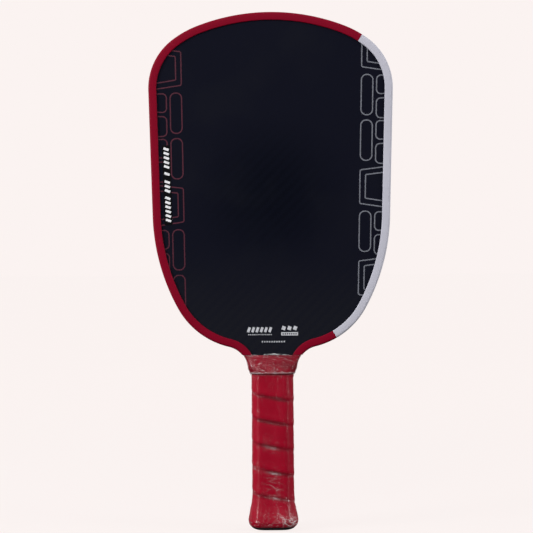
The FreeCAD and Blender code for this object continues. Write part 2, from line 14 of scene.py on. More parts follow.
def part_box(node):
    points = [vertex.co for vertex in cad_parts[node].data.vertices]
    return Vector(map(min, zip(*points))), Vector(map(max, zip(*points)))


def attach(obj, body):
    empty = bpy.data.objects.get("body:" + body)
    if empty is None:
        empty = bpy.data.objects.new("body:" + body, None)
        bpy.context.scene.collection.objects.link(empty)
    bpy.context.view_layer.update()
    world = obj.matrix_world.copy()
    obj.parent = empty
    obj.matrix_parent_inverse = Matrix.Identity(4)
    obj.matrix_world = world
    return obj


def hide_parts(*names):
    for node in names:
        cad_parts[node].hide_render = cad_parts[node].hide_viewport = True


MM = 0.001

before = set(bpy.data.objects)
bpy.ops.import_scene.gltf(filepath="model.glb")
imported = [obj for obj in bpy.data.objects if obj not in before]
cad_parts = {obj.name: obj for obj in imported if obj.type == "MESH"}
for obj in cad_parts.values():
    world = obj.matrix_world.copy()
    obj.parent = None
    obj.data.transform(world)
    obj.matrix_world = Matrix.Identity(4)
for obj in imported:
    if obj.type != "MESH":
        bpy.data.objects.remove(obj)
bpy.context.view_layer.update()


def extent(node, axis, end):
    """How far a CAD node reaches along an axis, at its low (0) or high (1) end."""
    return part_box(node)[end][axis]


# ---- Colours -----------------------------------------------------------------------------------------------


def srgb(red, green, blue):
    """Linear colour from the eight-bit numbers of a screen colour."""

    def linear(part):
        part /= 255
        return part / 12.92 if part <= 0.04045 else ((part + 0.055) / 1.055) ** 2.4

    return linear(red), linear(green), linear(blue), 1.0


class Shader:
    """A node material that is put together one line at a time."""

    def __init__(self, name, **sockets):
        self.material = bpy.data.materials.new(name)
        self.material.use_nodes = True
        self.tree = self.material.node_tree
        self.surface = self.tree.nodes["Principled BSDF"]
        coordinates = self.tree.nodes.new("ShaderNodeTexCoord")
        self.place = coordinates.outputs["Object"]
        self.fill(self.surface, sockets)

    def fill(self, node, sockets):
        for name, content in sockets.items():
            socket = node.inputs[name if isinstance(name, int) else name.replace("_", " ")]
            if isinstance(content, bpy.types.NodeSocket):
                self.tree.links.new(content, socket)
            else:
                socket.default_value = content

    def node(self, kind, settings, **sockets):
        made = self.tree.nodes.new(kind)
        for name, content in settings.items():
            setattr(made, name, content)
        self.fill(made, sockets)
        return made

    def math(self, operation, *terms):
        made = self.tree.nodes.new("ShaderNodeMath")
        made.operation = operation
        self.fill(made, dict(enumerate(terms)))
        return made.outputs[0]

    def noise(self, scale, detail=3.0, roughness=0.5, stretch=(1, 1, 1)):
        """Soft random pattern from 0 to 1; scale is in features per metre."""
        spread = self.node("ShaderNodeMapping", {}, Vector=self.place, Scale=stretch)
        texture = self.node(
            "ShaderNodeTexNoise", {}, Vector=spread.outputs[0],
            Scale=scale, Detail=detail, Roughness=roughness
        )
        return texture.outputs["Fac"]

    def between(self, factor, low, high):
        """Numbers from low to high as the factor goes from 0 to 1."""
        made = self.node("ShaderNodeMapRange", {})
        self.fill(made, {0: factor, 3: low, 4: high})
        return made.outputs[0]

    def band(self, factor, start, end):
        """0 below start, 1 above end, smooth between."""
        made = self.node("ShaderNodeMapRange", {"interpolation_type": "SMOOTHSTEP"})
        self.fill(made, {0: factor, 1: start, 2: end, 3: 0.0, 4: 1.0})
        return made.outputs[0]

    def blend(self, factor, first, second):
        """A colour from first to second as the factor goes from 0 to 1."""
        made = self.node("ShaderNodeMix", {"data_type": "RGBA"})
        self.fill(made, {0: factor, 6: first, 7: second})
        return made.outputs[2]

    def axes(self):
        split = self.node("ShaderNodeSeparateXYZ", {}, Vector=self.place)
        return split.outputs

    def bump(self, height, distance, strength):
        made = self.node("ShaderNodeBump", {}, Height=height, Distance=distance, Strength=strength)
        return made.outputs[0]

    def finish(self, **sockets):
        self.fill(self.surface, sockets)
        return self.material


def plain_matter(name, colour, roughness, grain=900.0, depth=0.05 * MM, contrast=0.12, gloss=0.5):
    """A solid-coloured material with mottling, an uneven finish and a fine grain."""
    shader = Shader(name, Specular_IOR_Level=gloss)
    mottle = shader.noise(grain * 0.04, detail=5.0)
    darker = tuple(part * (1 - contrast) for part in colour[:3]) + (1.0,)
    lighter = tuple(min(1.0, part * (1 + contrast)) for part in colour[:3]) + (1.0,)
    fine = shader.noise(grain, detail=4.0, roughness=0.6)
    return shader.finish(
        Base_Color=shader.blend(mottle, darker, lighter),
        Roughness=shader.between(fine, roughness - 0.06, min(1.0, roughness + 0.08)),
        Normal=shader.bump(fine, depth, 0.6),
    )


# Face colours with painted light: a shaded middle, lighter edges and a lighter, greyer heel.
FACE_MIDDLE_HEIGHT = 0.268
FACE_MIDDLE = srgb(3, 5, 16)
FACE_EDGE = srgb(12, 13, 25)
FACE_HEEL = srgb(21, 22, 29)
# Tint of the tows lying on top: the weave is real, the tint is a painted sheen.
FACE_TOW = srgb(10, 13, 26)


def face_coating():
    """Near-black woven sheet under a gritty matt coat, with painted light: darkest in the head's middle,
    greyer low down.
    """
    shader = Shader("face_coating", Specular_IOR_Level=0.04)
    x, _, z = shader.axes()
    tow = 2.2 * MM
    column = shader.math("FLOOR", shader.math("DIVIDE", x, tow))
    row = shader.math("FLOOR", shader.math("DIVIDE", z, tow))
    step = shader.math("FLOORED_MODULO", shader.math("SUBTRACT", column, row), 4.0)
    over = shader.math("LESS_THAN", step, 1.5)
    across = shader.math("PINGPONG", shader.math("DIVIDE", x, tow), 0.5)
    along = shader.math("PINGPONG", shader.math("DIVIDE", z, tow), 0.5)
    crown = shader.math(
        "ADD",
        shader.math("MULTIPLY", over, across),
        shader.math("MULTIPLY", shader.math("SUBTRACT", 1.0, over), along),
    )
    grit = shader.noise(2600.0, detail=3.0, roughness=0.7)
    mottle = shader.noise(22.0, detail=4.0)
    height = shader.math("SUBTRACT", z, FACE_MIDDLE_HEIGHT)
    radius = shader.math(
        "SQRT", shader.math("ADD", shader.math("MULTIPLY", x, x), shader.math("MULTIPLY", height, height))
    )
    # Painted light: the face darkens towards the head's middle and turns paler and greyer towards the heel.
    body = shader.blend(shader.band(radius, 0.005, 0.075), FACE_MIDDLE, FACE_EDGE)
    heel = shader.math("SUBTRACT", 1.0, shader.band(z, 0.15, 0.24))
    body = shader.blend(heel, body, FACE_HEEL)
    # Painted sheen: the tows lying on top are tinted towards a dark blue-grey.
    weave = shader.blend(shader.math("MULTIPLY", over, 0.25), body, FACE_TOW)
    # Random paler clouds in the coat.
    cloudy = shader.blend(shader.math("MULTIPLY", shader.band(mottle, 0.45, 0.75), 0.3), weave, FACE_HEEL)
    relief = shader.math("ADD", shader.math("MULTIPLY", crown, 0.5), shader.math("MULTIPLY", grit, 0.9))
    return shader.finish(
        Base_Color=cloudy,
        Roughness=shader.between(grit, 0.52, 0.68),
        Normal=shader.bump(relief, 0.05 * MM, 0.55),
    )


def guard_plastic(name, colour, scuff):
    """Soft extruded plastic: a fine grain, cloudy colour, scuffs on the outer corner."""
    shader = Shader(name, Specular_IOR_Level=0.05)
    cloud = shader.noise(35.0, detail=4.0)
    fine = shader.noise(1500.0, detail=3.0)
    _, y, _ = shader.axes()
    corner = shader.band(shader.math("ABSOLUTE", y), 6.5 * MM, 9.0 * MM)
    rubbed = shader.math(
        "MULTIPLY", shader.band(shader.noise(160.0, detail=6.0, roughness=0.65), 0.62, 0.75), 0.35
    )
    darker = tuple(part * 0.86 for part in colour[:3]) + (1.0,)
    body = shader.blend(cloud, darker, colour)
    scuffed = shader.blend(shader.math("MULTIPLY", rubbed, corner), body, scuff)
    return shader.finish(
        Base_Color=scuffed,
        Roughness=shader.between(shader.noise(90.0, detail=4.0), 0.42, 0.6),
        Normal=shader.bump(fine, 0.03 * MM, 0.4),
    )


GRIP_RED = srgb(150, 2, 32)
GRIP_DEEP = srgb(132, 1, 28)
# A paler red painted in as sheen, and a dark red painted in as shade at the turns' edges.
GRIP_BRIGHT = srgb(158, 16, 44)
GRIP_GROOVE = srgb(88, 14, 24)


def grip_leather():
    """Tacky coated grip: fine pebbled grain, a painted sheen in paler streaks and painted shade low in the
    grooves.
    """
    shader = Shader("grip_leather", Specular_IOR_Level=0.08)
    groove = shader.node("ShaderNodeAttribute", {"attribute_name": "groove"}).outputs["Fac"]
    pebble = shader.node(
        "ShaderNodeTexVoronoi", {"feature": "DISTANCE_TO_EDGE"}, Vector=shader.place, Scale=1500.0
    ).outputs["Distance"]
    cells = shader.band(pebble, 0.0, 0.35)
    cloud = shader.noise(60.0, detail=5.0, roughness=0.6)
    streak = shader.noise(160.0, detail=4.0, stretch=(1, 1, 0.12))
    body = shader.blend(cloud, GRIP_DEEP, GRIP_RED)
    # Painted sheen: paler streaks along the handle.
    streaked = shader.blend(shader.math("MULTIPLY", shader.band(streak, 0.5, 0.8), 0.45), body, GRIP_BRIGHT)
    # Painted shade where one turn steps over the next, from the vertex attribute.
    shaded = shader.blend(shader.math("MULTIPLY", groove, 0.8), streaked, GRIP_GROOVE)
    return shader.finish(
        Base_Color=shaded,
        Roughness=shader.between(cloud, 0.4, 0.56),
        Normal=shader.bump(cells, 0.05 * MM, 0.45),
    )


def collar_rubber():
    """Deep red rubber, clouded with a darker red."""
    shader = Shader("collar_rubber", Specular_IOR_Level=0.1)
    cloud = shader.noise(70.0, detail=5.0)
    fine = shader.noise(1800.0, detail=3.0)
    return shader.finish(
        Base_Color=shader.blend(shader.band(cloud, 0.35, 0.65), srgb(98, 2, 20), srgb(130, 6, 30)),
        Roughness=shader.between(cloud, 0.42, 0.58),
        Normal=shader.bump(fine, 0.04 * MM, 0.5),
    )


def clear_film():
    """Thin clear film: it mirrors only a little, more when seen edge on; painted highlights whiten its
    creases and threads.
    """
    shader = Shader("clear_film", Base_Color=(0.92, 0.9, 0.9, 1))
    crease = shader.node("ShaderNodeAttribute", {"attribute_name": "crease"}).outputs["Fac"]
    facing = shader.node("ShaderNodeLayerWeight", {}, Blend=0.3).outputs["Facing"]
    smear = shader.noise(95.0, detail=5.0, roughness=0.6, stretch=(1, 1, 0.3))
    line = shader.noise(300.0, detail=4.0, roughness=0.6, stretch=(1, 1, 0.55))
    ridge = shader.math("ABSOLUTE", shader.math("SUBTRACT", line, 0.5))
    thread = shader.math("SUBTRACT", 1.0, shader.band(ridge, 0.0, 0.02))
    hazy = shader.math("MULTIPLY", shader.band(smear, 0.55, 0.8), 0.03)
    threads = shader.math("MULTIPLY", shader.math("MULTIPLY", thread, shader.band(smear, 0.5, 0.7)), 0.07)
    # Painted highlights: white on the thin threads and on the creases the mesh marks, over a faint white
    # veil.
    white = shader.math("ADD", shader.math("ADD", hazy, threads), shader.math("MULTIPLY", crease, 0.6))
    mirror = shader.math("ADD", shader.math("MULTIPLY", shader.math("POWER", facing, 3.0), 0.3), 0.007)
    opening = shader.node("ShaderNodeClamp", {}, Value=shader.math("ADD", white, mirror), Max=0.9)
    solid = shader.node("ShaderNodeClamp", {}, Value=shader.math("MULTIPLY", white, 4.0))
    return shader.finish(
        Alpha=opening.outputs[0],
        Metallic=shader.math("SUBTRACT", 1.0, solid.outputs[0]),
        Roughness=shader.between(smear, 0.14, 0.34),
        Normal=shader.bump(shader.math("ADD", smear, shader.math("MULTIPLY", thread, 0.3)), 0.5 * MM, 0.8),
    )


def ink(name, colour):
    """Screen-printed ink: thin, slightly uneven in cover, on the coated face."""
    shader = Shader(name, Specular_IOR_Level=0.3)
    cover = shader.noise(700.0, detail=4.0, roughness=0.65)
    thin = tuple(part * 0.72 for part in colour[:3]) + (1.0,)
    return shader.finish(
        Base_Color=shader.blend(shader.band(cover, 0.3, 0.6), thin, colour),
        Roughness=shader.between(cover, 0.5, 0.65),
        Normal=shader.bump(cover, 0.02 * MM, 0.4),
    )


# ---- Head outline ------------------------------------------------------------------------------------------

HALF_WIDTH = extent("edge_guard_red_long", 0, 0) * -1
TOP = extent("edge_guard_red_long", 2, 1)
TAPER = math.radians(1.6)
CROWN = (163.7 * MM, math.radians(21.1))
SHOULDER = (79.8 * MM, math.radians(16.4))
SIDE_LENGTH = 101.1 * MM
FLANK = (163.6 * MM, math.radians(26.8))
HIP = (62.9 * MM, math.radians(48.3))
THROAT_RADIUS = 19.0 * MM


def corner_arc():
    """The arc that brings the shoulder out to the full width."""
    turned = CROWN[1] + SHOULDER[1]
    reached = CROWN[0] * math.sin(CROWN[1]) + SHOULDER[0] * (math.sin(turned) - math.sin(CROWN[1]))
    return (HALF_WIDTH - reached) / (1 - math.sin(turned)), math.pi / 2 + TAPER - turned


# Stretches of one side from the top: radius (None where straight), turn or length, and the way it bends.
STRETCHES = [
    (*CROWN, 1),
    (*SHOULDER, 1),
    (*corner_arc(), 1),
    (None, SIDE_LENGTH, 0),
    (*FLANK, 1),
    (*HIP, 1),
    (THROAT_RADIUS, TAPER + FLANK[1] + HIP[1], -1),
]


def stretch_length(stretch):
    radius, amount, _ = stretch
    return amount if radius is None else radius * amount


def distance_to(index, turn):
    """Distance along the side from the top to a turn into one of the stretches."""
    return sum(stretch_length(stretch) for stretch in STRETCHES[:index]) + STRETCHES[index][0] * turn


def travel(heading):
    """Direction along the right-hand side, turned clockwise from +X, in the plane of the head."""
    return Vector((math.cos(heading), 0, -math.sin(heading)))


def outline_at(distance):
    """Point and outward direction at a distance from the top; negative distances go down the left side."""
    side = -1 if distance < 0 else 1
    left_over = abs(distance)
    heading = 0.0
    place = Vector((0, 0, TOP))
    for number, (radius, amount, bend) in enumerate(STRETCHES):
        whole = stretch_length((radius, amount, bend))
        last = number == len(STRETCHES) - 1
        covered = left_over if last else min(left_over, whole)
        left_over -= covered
        if radius is None:
            place = place + travel(heading) * covered
        else:
            centre = place + travel(heading + bend * math.pi / 2) * radius
            heading += bend * covered / radius
            place = centre - travel(heading + bend * math.pi / 2) * radius
        if left_over <= 0:
            break
    outward = travel(heading - math.pi / 2)
    return Vector((place.x * side, 0, place.z)), Vector((outward.x * side, 0, outward.z))


HALF_PERIMETER = sum(stretch_length(stretch) for stretch in STRETCHES)


# ---- Mesh tools --------------------------------------------------------------------------------------------


def keep(name, mesh_data, material, crease=35.0):
    """Turns a bmesh into a smooth-shaded piece of the paddle that rides on the root body."""
    mesh = bpy.data.meshes.new(name)
    bmesh.ops.recalc_face_normals(mesh_data, faces=mesh_data.faces)
    mesh_data.to_mesh(mesh)
    mesh_data.free()
    mesh.materials.append(material)
    mesh.shade_smooth()
    mesh.set_sharp_from_angle(angle=math.radians(crease))
    piece = bpy.data.objects.new(name, mesh)
    bpy.context.collection.objects.link(piece)
    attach(piece, "root")
    return piece


def join_rings(mesh_data, rings):
    """Quads between closed rings of vertices that follow each other."""
    for low, high in zip(rings, rings[1:]):
        count = len(low)
        for index in range(count):
            after = (index + 1) % count
            mesh_data.faces.new((low[index], low[after], high[after], high[index]))


# ---- Edge guard --------------------------------------------------------------------------------------------

GUARD_HALF = extent("edge_guard_red_long", 1, 1)
BLADE_HALF = extent("back_face_skin", 1, 1)
GUARD_WALL = 1.2 * MM
GUARD_LIP = 6.5 * MM
GUARD_ROUND = 1.8 * MM
LIP_ROUND = 0.55 * MM


def arc_points(centre, radius, start, end, count):
    """Points on an arc, in degrees, as (inward, depth) pairs."""
    points = []
    for step in range(count + 1):
        angle = math.radians(start + (end - start) * step / count)
        points.append((centre[0] + radius * math.cos(angle), centre[1] + radius * math.sin(angle)))
    return points


def guard_section():
    """Channel section as (distance inwards, depth): a round-cornered back, two lips with soft edges."""
    back = arc_points((GUARD_ROUND, -GUARD_HALF + GUARD_ROUND), GUARD_ROUND, 180, 270, 7)
    lip = arc_points((GUARD_LIP - LIP_ROUND, -GUARD_HALF + LIP_ROUND), LIP_ROUND, 270, 360, 5)
    inside = [(GUARD_LIP, -BLADE_HALF), (GUARD_WALL, -BLADE_HALF)]
    front = [(0, -3.5 * MM)] + back + [(3.6 * MM, -GUARD_HALF)] + lip + inside
    return front + [(inward, -depth) for inward, depth in reversed(front)]


def guard_run(name, node, start, end, colour):
    """A run of the guard, swept along the outline and cut level at the throat; colour is (slot, material),
    the slot not used.
    """
    section = guard_section()
    spacing = 1.6 * MM
    steps = max(2, round((end - start) / spacing))
    rings = []
    mesh_data = bmesh.new()
    for step in range(steps + 1):
        point, outward = outline_at(start + (end - start) * step / steps)
        ring = []
        for inward, depth in section:
            corner = point - outward * inward
            ring.append(mesh_data.verts.new((corner.x, depth, corner.z)))
        rings.append(ring)
    join_rings(mesh_data, rings)
    mesh_data.faces.new(rings[0])
    mesh_data.faces.new(rings[-1])
    level = extent(node, 2, 0)
    everything = mesh_data.verts[:] + mesh_data.edges[:] + mesh_data.faces[:]
    bmesh.ops.bisect_plane(
        mesh_data, geom=everything, plane_co=(0, 0, level), plane_no=(0, 0, 1), clear_inner=True
    )
    open_edges = [edge for edge in mesh_data.edges if edge.is_boundary]
    bmesh.ops.holes_fill(mesh_data, edges=open_edges)
    slot, material = colour
    piece = keep(name, mesh_data, material)
    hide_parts(node)


def edge_guard():
    red = ("guard_red", guard_plastic("guard_red_plastic", srgb(122, 4, 31), srgb(140, 36, 54)))
    grey = ("guard_grey", guard_plastic("guard_grey_plastic", srgb(186, 185, 196), srgb(150, 150, 160)))
    upper = distance_to(1, math.radians(11.8))
    lower = distance_to(5, math.radians(31.5))
    gap = 0.06 * MM
    guard_run("guard_long_red", "edge_guard_red_long", -HALF_PERIMETER, upper - gap, red)
    guard_run("guard_grey_run", "edge_guard_grey", upper + gap, lower - gap, grey)
    guard_run("guard_short_red", "edge_guard_red_short", lower + gap, HALF_PERIMETER, red)


# ---- Printed shapes on the faces ---------------------------------------------------------------------------

INK_DEPTH = 0.05 * MM


def rounded_loop(corners, radius):
    """Closed outline through corners in the plane of the head, each rounded to a radius."""
    steps = 6
    loop = []
    count = len(corners)
    for index, corner in enumerate(corners):
        back = (corners[index - 1] - corner).normalized()
        ahead = (corners[(index + 1) % count] - corner).normalized()
        half_angle = back.angle(ahead) / 2
        setback = radius / math.tan(half_angle)
        centre = corner + (back + ahead).normalized() * (radius / math.sin(half_angle))
        first = corner + back * setback - centre
        last = corner + ahead * setback - centre
        for step in range(steps + 1):
            direction = first.lerp(last, step / steps).normalized()
            loop.append(centre + direction * radius)
    return loop


def ribbon(mesh_data, points, width, level, closed=True):
    """Flat printed line along points, standing proud of a face by its ink's thickness."""
    count = len(points)
    rings = []
    outside = INK_DEPTH if level > 0 else -INK_DEPTH
    for index, point in enumerate(points):
        before = points[index - 1] if index or closed else point
        after = points[(index + 1) % count] if index + 1 < count or closed else point
        along = (after - before).normalized()
        across = Vector((along.z, 0, -along.x)) * (width / 2)
        left = point + across
        right = point - across
        rings.append([
            mesh_data.verts.new((left.x, level, left.z)),
            mesh_data.verts.new((left.x, level + outside, left.z)),
            mesh_data.verts.new((right.x, level + outside, right.z)),
            mesh_data.verts.new((right.x, level, right.z)),
        ])
    join_rings(mesh_data, rings + rings[:1] if closed else rings)
    if not closed:
        mesh_data.faces.new(rings[0])
        mesh_data.faces.new(rings[-1])


def printed_run(mesh_data, loop, width, level, limit):
    """Prints a loop as far as the guard's lip hides it; limit gives the half-width at a height."""
    shown = [abs(point.x) < limit(point.z) for point in loop]
    if all(shown):
        ribbon(mesh_data, loop, width, level)
        return
    start = next(index for index in range(len(loop)) if not shown[index])
    run = []
    for step in range(1, len(loop) + 1):
        index = (start + step) % len(loop)
        if shown[index]:
            run.append(loop[index])
            continue
        if len(run) > 1:
            ribbon(mesh_data, run, width, level, closed=False)
        run = []


def fine_loop(loop):
    """The same loop with points close enough together to be cut off cleanly."""
    spacing = 0.8 * MM
    dense = []
    for index, point in enumerate(loop):
        after = loop[(index + 1) % len(loop)]
        parts = max(1, int((after - point).length / spacing))
        dense += [point.lerp(after, step / parts) for step in range(parts)]
    return dense


def lip_limit():
    """Half the width of the face that the guard's lip leaves in sight, as a function of height."""
    steps = 300
    edge = []
    for step in range(steps + 1):
        point, outward = outline_at(HALF_PERIMETER * step / steps)
        moved = point - outward * (GUARD_LIP - 0.4 * MM)
        edge.append((moved.z, moved.x))
    edge.sort()
    return lambda height: through(edge, height)


# Outlined shapes beside the guard, in millimetres: corners as (outwards, upwards), and their rounding.
PLATE = ([(0, 3.4), (0, 30.2), (44, 35.6), (44, -3.2)], 1.5)
INNER_PLATE = ([(4.4, 7.6), (4.4, 26.4), (44, 31.2), (44, 1.2)], 1.0)
TALL_PILL = ([(0, 1.4), (0, 33.6), (9.2, 33.6), (9.2, 1.4)], 4.2)
LOW_PILL = ([(12.2, -0.8), (12.2, 14.6), (44, 16.2), (44, -2.6)], 3.4)
HIGH_PILL = ([(12.2, 18.0), (12.2, 33.2), (44, 31.8), (44, 19.6)], 3.4)
MOTIFS = [[PLATE, INNER_PLATE], [TALL_PILL, LOW_PILL, HIGH_PILL]]
MOTIF_PITCH = 36.4 * MM


def shape_column(name, side, foot, slope, order, level, colour, limit):
    """Outlined shapes up one side of a face; foot is (outwards, height), slope how the column leans out."""
    mesh_data = bmesh.new()
    for number, motif in enumerate(order):
        for corners, rounding in MOTIFS[motif]:
            placed = []
            for out, up in corners:
                height = foot[1] + number * MOTIF_PITCH + up * MM
                sideways = foot[0] + out * MM + slope * (height - foot[1])
                placed.append(Vector((side * sideways, 0, height)))
            loop = fine_loop(rounded_loop(placed, rounding * MM))
            printed_run(mesh_data, loop, 0.95 * MM, level, limit)
    keep(name, mesh_data, colour)


def bars(mesh_data, start, count, size, pitch, lean, level, along):
    """A row of small slanted bars; size is (along the row, across it)."""
    across = Vector((-along.z, 0, along.x))
    for number in range(count):
        middle = start + along * (pitch * number)
        tip = across * (size[1] / 2) + along * lean
        ribbon(mesh_data, [middle - tip, middle + tip], size[0], level, closed=False)


def plain_marks(face):
    """Two small badges and a line of plain bars at the heel of the head."""
    white = ink("ink_white", srgb(190, 191, 197))
    black = ink("ink_black", srgb(18, 19, 26))
    across = Vector((1, 0, 0))
    rows = [
        ((-18.6, 160.0), 6, (2.0, 3.9), 3.4, 0.7),
        ((-18.7, 156.1), 12, (0.75, 0.9), 1.62, 0.0),
        ((9.2, 161.2), 3, (2.9, 2.8), 4.6, 0.5),
        ((-8.0, 150.4), 10, (0.9, 1.25), 1.95, 0.15),
    ]
    marks = bmesh.new()
    for (x, z), count, (thick, tall), pitch, lean in rows:
        start = Vector((x * MM, 0, z * MM))
        bars(marks, start, count, (thick * MM, tall * MM), pitch * MM, lean * MM, face, across)
    plate_middle = Vector((13.9 * MM, 0, 156.6 * MM))
    bars(marks, plate_middle, 1, (13.4 * MM, 2.6 * MM), 0, 0, face, across)
    keep("print_marks", marks, white)
    dark = bmesh.new()
    start = plate_middle - across * (5.2 * MM)
    bars(dark, start, 7, (0.9 * MM, 1.2 * MM), 1.72 * MM, 0, face - INK_DEPTH, across)
    keep("print_plate_bars", dark, black)


def printed_shapes():
    limit = lip_limit()
    grey = ink("ink_grey", srgb(108, 110, 119))
    dull = ink("ink_red", srgb(72, 16, 36))
    for face, name, side in ((-BLADE_HALF, "front", 1), (BLADE_HALF, "back", -1)):
        grey_foot = (68.9 * MM, 184.2 * MM)
        red_foot = (68.9 * MM, 170.4 * MM)
        shape_column(f"print_{name}_grey", side, grey_foot, 0.0215, [0, 1, 0, 1, 1, 0], face, grey, limit)
        shape_column(f"print_{name}_red", -side, red_foot, 0.0128, [1, 1, 0, 1, 1, 0], face, dull, limit)
    plain_marks(-BLADE_HALF)


def spec_label():
    """White bars on the black sticker, in its own direction."""
    low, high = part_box("spec_label")
    middle = (Vector(low) + Vector(high)) / 2
    along = Vector((-math.sin(TAPER), 0, math.cos(TAPER)))
    mesh_data = bmesh.new()
    surface = low[1]
    pitch = 3.55 * MM
    for group_start, group_count in ((-28.2, 6), (-4.6, 3), (9.0, 1), (14.6, 5)):
        start = Vector((middle.x, 0, middle.z)) + along * (group_start * MM)
        bars(mesh_data, start, group_count, (1.9 * MM, 4.1 * MM), pitch, 0.8 * MM, surface, along)
    keep("label_bars", mesh_data, ink("label_ink", srgb(225, 225, 228)))


# ---- Handle ------------------------------------------------------------------------------------------------

SHELL_WIDE = extent("front_handle_shell", 0, 1)
SHELL_DEEP = extent("back_handle_shell", 1, 1)
BEVEL = math.atan2(4.2, 5.0)
BEVEL_OUT = (SHELL_WIDE - 4.2 * MM) * math.cos(BEVEL) + SHELL_DEEP * math.sin(BEVEL)
AROUND = 192
SOFTNESS = 20.0


def octagon_flats(spread):
    """Directions and distances of the eight flats of the handle, moved out by a spread."""
    flats = [(0.0, SHELL_WIDE), (math.pi, SHELL_WIDE), (math.pi / 2, SHELL_DEEP), (-math.pi / 2, SHELL_DEEP)]
    flats += [(sign * BEVEL + turn, BEVEL_OUT) for sign in (1, -1) for turn in (0, math.pi)]
    return [(direction, out + spread) for direction, out in flats]


def collar_flats(wide, deep, corner):
    """Directions and distances of the collar's flats; corner is how much each corner is cut back."""
    out = (wide + deep - corner) / math.sqrt(2)
    flats = [(0.0, wide), (math.pi, wide), (math.pi / 2, deep), (-math.pi / 2, deep)]
    return flats + [(math.pi * odd / 4, out) for odd in (1, 3, 5, 7)]


def reach(angle, flats, softness=SOFTNESS):
    """Radius of a soft-cornered many-sided section in one direction."""
    total = 0.0
    for direction, out in flats:
        towards = math.cos(angle - direction)
        if towards > 0:
            total += (towards / out) ** softness
    return total ** (-1 / softness)


def ring_angles():
    """Angles round the handle from mid-back, clockwise from above, and the share of the way round."""
    angles = [math.pi / 2 - 2 * math.pi * index / AROUND for index in range(AROUND)]
    flats = octagon_flats(GRIP_SPREAD)
    points = [Vector((math.cos(angle), math.sin(angle))) * reach(angle, flats) for angle in angles]
    lengths = [(points[(index + 1) % AROUND] - point).length for index, point in enumerate(points)]
    total = sum(lengths)
    shares = [sum(lengths[:index]) / total for index in range(AROUND)]
    return angles, shares


def through(stations, height):
    """A number at a height, from a list of (height, number) pairs, in straight lines between them."""
    if height <= stations[0][0]:
        return stations[0][1]
    for (low, first), (high, second) in zip(stations, stations[1:]):
        if height <= high:
            share = (height - low) / (high - low)
            return first + (second - first) * share
    return stations[-1][1]


GRIP_SPREAD = 1.77 * MM
GRIP_LOW = extent("cushion_grip", 2, 0)
GRIP_HIGH = extent("cushion_grip", 2, 1)
FLARE = [
    (1.6 * MM, 1.55 * MM),
    (2.5 * MM, 3.0 * MM),
    (3.1 * MM, 4.0 * MM),
    (4.4 * MM, 4.7 * MM),
    (7.0 * MM, 5.15 * MM),
    (9.5 * MM, 4.8 * MM),
    (14.0 * MM, 3.75 * MM),
    (20.0 * MM, 2.55 * MM),
    (25.0 * MM, 1.9 * MM),
    (29.0 * MM, GRIP_SPREAD),
]
TURN_PITCH = 19.85 * MM
TURN_ROWS = 44
TURNS = 9
TURNS_BELOW = 3
FRONT_SHARE = 0.5
FIRST_SEAM = 26.8 * MM
SEAM_DRIFT = 0.7 * MM
STEP_HEIGHT = 0.28 * MM


def drifted(height):
    """The turns were wound by hand, so they wander a little along the handle."""
    return height + SEAM_DRIFT * math.sin(math.pi * (height - FIRST_SEAM) / (4 * TURN_PITCH))


TURN_PROFILE = [
    (0.0, -0.5), (0.02, -0.2), (0.05, 0.3), (0.09, 0.75), (0.13, 0.95), (0.18, 0.9), (0.26, 0.6),
    (0.36, 0.35), (0.6, 0.3), (0.78, 0.18), (0.86, -0.05), (0.92, -0.35), (0.97, -0.6), (1.0, -0.6),
]


def turn_height(share, height):
    """How proud a turn stands, from its lower edge (0) to the next one's (1); the first lies flat."""
    wound = min(1.0, max(0.0, (height - 9 * MM) / (7 * MM)))
    return through(TURN_PROFILE, share) * STEP_HEIGHT * wound


def butt_softness(height):
    """The octagon is crisp up the handle and rounder at the butt."""
    return through([(4 * MM, 9.0), (14 * MM, 17.0)], height)


def groove_share(within, angle, height):
    """Painted shade on each side of a turn's edge, most on the front and back flats; it comes and goes round
    the handle.
    """
    depth = through([(0.84, 0.0), (0.92, 0.6), (0.97, 1.0), (1.0, 1.0)], within)
    depth += through([(0.0, 0.9), (0.03, 0.5), (0.08, 0.0)], within)
    place = Vector((math.cos(angle) * 1.6, math.sin(angle) * 1.6, height * 30))
    flat = 0.3 + 0.7 * near(abs(math.sin(angle)), 1.0, 0.25)
    patchy = flat * (1.0 + 1.1 * noise.noise(place))
    wound = through([(8 * MM, 0.0), (18 * MM, 1.0), (119 * MM, 1.0), (123 * MM, 0.0)], height)
    return min(1.0, max(0.0, depth * patchy * wound))


